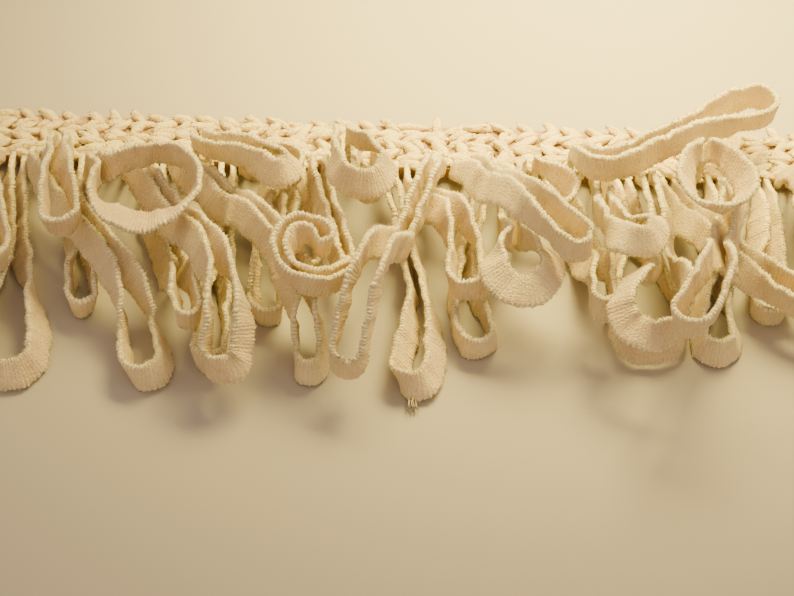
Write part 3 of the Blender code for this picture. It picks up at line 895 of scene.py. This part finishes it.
def make_frayed_end(rings, material):
    """Loose threads that hang from the end of one loop."""
    rng = np.random.default_rng(9)
    front = rings[rings.mean(axis=1)[:, 1].argmin()]
    foot = front[front[:, 2].argmin()]
    foot = foot + (front.mean(axis=0) - foot) * THREAD_BITE_SHARE
    roots = foot + rng.normal(0.0, 1.0, (FRAYED_THREADS, 3)) * THREAD_ROOT_SPREAD
    ways = rng.normal(0.0, 1.0, (FRAYED_THREADS, 3)) * THREAD_STRAY + THREAD_WAY
    ways /= np.linalg.norm(ways, axis=1)[:, None]
    lengths = rng.uniform(*THREAD_LENGTH, FRAYED_THREADS)
    roots[:, 2] = np.maximum(roots[:, 2], THREAD_ROOT_LOWEST)
    ways[:, 2] = np.maximum(ways[:, 2], (THREAD_TIP_LOWEST - roots[:, 2]) / lengths)
    radii = np.full(FRAYED_THREADS, THREAD_RADIUS)
    dress_fibres(needles_mesh("frayed_end", roots, ways, lengths, radii), material)


def dress_fibres(piece, material):
    """Gives loose fibres the tape's material, in the colour of its edges, with their painted highlight."""
    for label, value in (("rim", 1.0), ("tint", 0.5)):
        layer = piece.data.attributes.new(label, "FLOAT", "POINT")
        layer.data.foreach_set("value", np.full(len(piece.data.vertices), value, np.float32))
    piece.data.uv_layers.new(name="ribs")
    piece.data.materials.append(material)
    settle(piece, "tape")


def fibres_on(name, roots, ways, count, seed):
    """Loose fibres at a random pick of the roots, leaning about each root's outward way."""
    rng = np.random.default_rng(seed)
    pick = rng.choice(len(roots), count, replace=count > len(roots))
    ways = ways[pick] / np.linalg.norm(ways[pick], axis=1)[:, None]
    ways = ways + rng.normal(0.0, FIBRE_SPREAD, (count, 3))
    ways /= np.linalg.norm(ways, axis=1)[:, None]
    lengths = rng.uniform(*FIBRE_LENGTH, count)
    roots = roots[pick] - ways * FIBRE_BITE
    roots[:, 2] = np.maximum(roots[:, 2], FIBRE_ROOT_LOWEST)
    ways[:, 2] = np.maximum(ways[:, 2], (FIBRE_TIP_LOWEST - roots[:, 2]) / lengths)
    return needles_mesh(name, roots, ways, lengths, np.full(count, FIBRE_RADIUS))


class TRIM_OT_heading_band(bpy.types.Operator):
    """Makes the band that the heading's stitches and the loops' roots are caught in"""

    bl_idname = "trim.heading_band"
    bl_label = "Heading band"

    def execute(self, context):
        deselect_all()
        depth = BAND_BACK - BAND_FRONT
        middle = (BAND_BACK + BAND_FRONT) / 2
        bpy.ops.mesh.primitive_grid_add(
            x_subdivisions=BAND_COLUMNS, y_subdivisions=BAND_ROWS, size=1.0, location=(0, 0, 0)
        )
        band = context.object
        band.name = band.data.name = "heading_band"
        bpy.ops.object.mode_set(mode="EDIT")
        bpy.ops.mesh.select_all(action="SELECT")
        bpy.ops.transform.resize(value=(TRIM_LENGTH * MM, depth * MM, 1.0))
        bpy.ops.transform.translate(value=(0.0, middle * MM, 0.0))
        bpy.ops.object.mode_set(mode="OBJECT")
        for vert in band.data.vertices:
            y = vert.co.y / MM
            over_roots = smooth_step((BACKING_BACK + ROOTS_START - y) / ROOTS_OVER)
            rise = BAND_TOP + ROOTS_TOP * float(over_roots)
            knots = 0.5 + 0.5 * math.cos(2.0 * math.pi * vert.co.x / MM / LEG_SPACING)
            vert.co.z = (rise + KNOT_RISE * knots) * MM
        bpy.ops.object.mode_set(mode="EDIT")
        bpy.ops.mesh.select_all(action="SELECT")
        bpy.ops.mesh.extrude_region_move(TRANSFORM_OT_translate={"value": (0.0, 0.0, -MM)})
        bpy.ops.object.mode_set(mode="OBJECT")
        for vert in band.data.vertices:
            if vert.select:
                vert.co.z = 0.0
        bpy.ops.object.mode_set(mode="EDIT")
        bpy.ops.mesh.select_all(action="SELECT")
        bpy.ops.mesh.normals_make_consistent(inside=False)
        bpy.ops.object.mode_set(mode="OBJECT")
        bpy.ops.object.shade_smooth_by_angle(angle=math.radians(BAND_SMOOTH_UNDER))
        colours = context.scene.trim_colours
        # The band is given the darker face colour and the pit colour as painted shade between and under the
        # stitches.
        band.data.materials.append(knit_yarn("knit_band", colours.face_deep, colours.pit_shade))
        settle(band, "knit", "heading")
        return {"FINISHED"}


def turned(points, degrees, first, second):
    """Points turned about the origin in the plane of two axes."""
    angle = math.radians(degrees)
    turn = np.eye(3)
    turn[first, first] = turn[second, second] = math.cos(angle)
    turn[first, second] = math.sin(angle)
    turn[second, first] = -math.sin(angle)
    return points @ turn


def stitch_leg():
    """The points of one plump leg of a stitch, in millimetres about the origin, and its faces."""
    deselect_all()
    bpy.ops.mesh.primitive_uv_sphere_add(
        segments=LEG_SEGMENTS, ring_count=LEG_RINGS, radius=1.0, location=(0, 0, 0)
    )
    leg = bpy.context.object
    bpy.ops.object.mode_set(mode="EDIT")
    bpy.ops.mesh.select_all(action="SELECT")
    bpy.ops.transform.rotate(value=math.pi / 2, orient_axis="Y", center_override=(0, 0, 0))
    bpy.ops.transform.resize(value=(LEG_HALF_LENGTH, LEG_HALF_WIDTH, LEG_HALF_HEIGHT))
    bpy.ops.object.mode_set(mode="OBJECT")
    shape = np.array([vert.co for vert in leg.data.vertices])
    shape[:, 2] += LEG_BOW * np.cos(shape[:, 0] / LEG_HALF_LENGTH * math.pi / 2)
    faces = [list(face.vertices) for face in leg.data.polygons]
    bpy.data.objects.remove(leg)
    return shape, faces


class TRIM_OT_heading_stitches(bpy.types.Operator):
    """Makes one plump leg of a stitch and sets it along the heading in rows of chain stitches"""

    bl_idname = "trim.heading_stitches"
    bl_label = "Heading stitches"

    def execute(self, context):
        shape, faces = stitch_leg()
        rng = np.random.default_rng(3)
        legs, polygons = [], []
        for row in STITCH_ROWS:
            for k in range(STITCHES_PER_ROW):
                middle = TRIM_LENGTH * ((k + 0.5) / STITCHES_PER_ROW - 0.5)
                for side in (-1.0, 1.0):
                    x = middle + rng.normal(0.0, STITCH_STRAY[0])
                    x = max(-STITCH_FURTHEST, min(STITCH_FURTHEST, x))
                    turn = STITCH_TURN + rng.normal(0.0, STITCH_TURN_SPREAD)
                    leg = shape * rng.uniform(*STITCH_SIZES, 3) + rng.normal(0.0, STITCH_LUMPS, shape.shape)
                    leg = turned(leg, -row.lean * STITCH_TILT, 0, 2)
                    leg = turned(leg, -side * row.lean * turn, 0, 1)
                    y = row.y + side * LEGS_APART + rng.normal(0.0, STITCH_STRAY[1])
                    leg += (x, y, row.rest + rng.normal(0.0, STITCH_STRAY[2]))
                    polygons += [[index + len(shape) * len(legs) for index in face] for face in faces]
                    legs.append(leg)
        surface = np.concatenate(legs)
        mesh = bpy.data.meshes.new("heading_stitches")
        mesh.from_pydata((surface * MM).tolist(), [], polygons)
        mesh.polygons.foreach_set("use_smooth", np.ones(len(mesh.polygons), bool))
        colours = context.scene.trim_colours
        yarn = knit_yarn("knit_yarn", colours.yarn, colours.yarn_deep_and_shade)
        mesh.materials.append(yarn)
        settle(placed(mesh), "knit")
        centres = np.repeat(np.array([leg.mean(axis=0) for leg in legs]), len(shape), axis=0)
        fluff = fibres_on("heading_fibres", surface, surface - centres, HEADING_FIBRES, seed=7)
        fluff.data.materials.append(yarn)
        settle(fluff, "knit")
        return {"FINISHED"}


class TRIM_OT_stage(bpy.types.Operator):
    """Adds the pale floor, soft light from behind and the camera at the photograph's angle"""

    bl_idname = "trim.stage"
    bl_label = "Stage"

    def execute(self, context):
        settings = context.scene.trim_stage
        deselect_all()
        bpy.ops.mesh.primitive_plane_add(size=FLOOR_SIZE * MM, location=(0.0, 0.0, -FLOOR_DROP * MM))
        floor = context.object
        floor.name = "floor"
        paper = bpy.data.materials.new("pale_floor")
        paper.use_nodes = True
        shader = paper.node_tree.nodes["Principled BSDF"]
        shader.inputs["Base Color"].default_value = (*settings.floor, 1.0)
        shader.inputs["Roughness"].default_value = 0.7
        floor.data.materials.append(paper)

        world = bpy.data.worlds.new("soft_sky")
        context.scene.world = world
        world.use_nodes = True
        sky = world.node_tree.nodes["Background"]
        sky.inputs["Color"].default_value = (*settings.sky_colour, 1.0)
        sky.inputs["Strength"].default_value = settings.sky

        data = bpy.data.lights.new("key", "AREA")
        data.energy, data.color = settings.key_power, settings.key_colour
        data.size = LIGHT_SIZE * MM
        data.spread = math.radians(LIGHT_SPREAD)
        lamp = bpy.data.objects.new("key", data)
        lamp.location = Vector(LIGHT_PLACE) * MM
        lamp.rotation_mode = "QUATERNION"
        lamp.rotation_quaternion = (Vector(LIGHT_AIM) - Vector(LIGHT_PLACE)).to_track_quat("-Z", "Y")
        context.scene.collection.objects.link(lamp)

        data = bpy.data.cameras.new("camera")
        camera = bpy.data.objects.new("camera", data)
        context.scene.collection.objects.link(camera)
        rise = math.radians(ELEVATION)
        back = Vector((0.0, -math.cos(rise), math.sin(rise)))
        camera.location = (Vector(TARGET) + back * DISTANCE) * MM
        camera.rotation_mode = "QUATERNION"
        roll = Quaternion((0.0, 0.0, 1.0), math.radians(ROLL))
        camera.rotation_quaternion = (-back).to_track_quat("-Z", "Y") @ roll
        data.sensor_width = SENSOR
        data.lens = SENSOR / 2 * DISTANCE / HALF_VIEW
        data.clip_start = NEAREST * MM
        context.scene.camera = camera
        return {"FINISHED"}


OPERATORS = (TRIM_OT_tape_loops, TRIM_OT_heading_band, TRIM_OT_heading_stitches, TRIM_OT_stage)


class TRIM_PT_panel(bpy.types.Panel):
    """Lists the trim's pieces in the order in which they are made"""

    bl_idname = "TRIM_PT_panel"
    bl_label = "Loop fringe trim"
    bl_space_type = "VIEW_3D"
    bl_region_type = "UI"
    bl_category = "Trim"

    def draw(self, context):
        for kind in OPERATORS:
            self.layout.operator(kind.bl_idname)
        for group in (context.scene.trim_tape, context.scene.trim_colours, context.scene.trim_stage):
            for name in group.__annotations__:
                self.layout.prop(group, name)


GROUPS = (("trim_tape", TapeSizes), ("trim_colours", TrimColours), ("trim_stage", StageSettings))


def register():
    for name, kind in GROUPS:
        bpy.utils.register_class(kind)
        setattr(bpy.types.Scene, name, bpy.props.PointerProperty(type=kind))
    for kind in (*OPERATORS, TRIM_PT_panel):
        bpy.utils.register_class(kind)


def unregister():
    for kind in (TRIM_PT_panel, *reversed(OPERATORS)):
        bpy.utils.unregister_class(kind)
    for name, kind in reversed(GROUPS):
        delattr(bpy.types.Scene, name)
        bpy.utils.unregister_class(kind)


def main():
    register()
    bpy.ops.trim.tape_loops()
    bpy.ops.trim.heading_band()
    bpy.ops.trim.heading_stitches()
    bpy.ops.trim.stage()


if __name__ == "__main__":
    main()
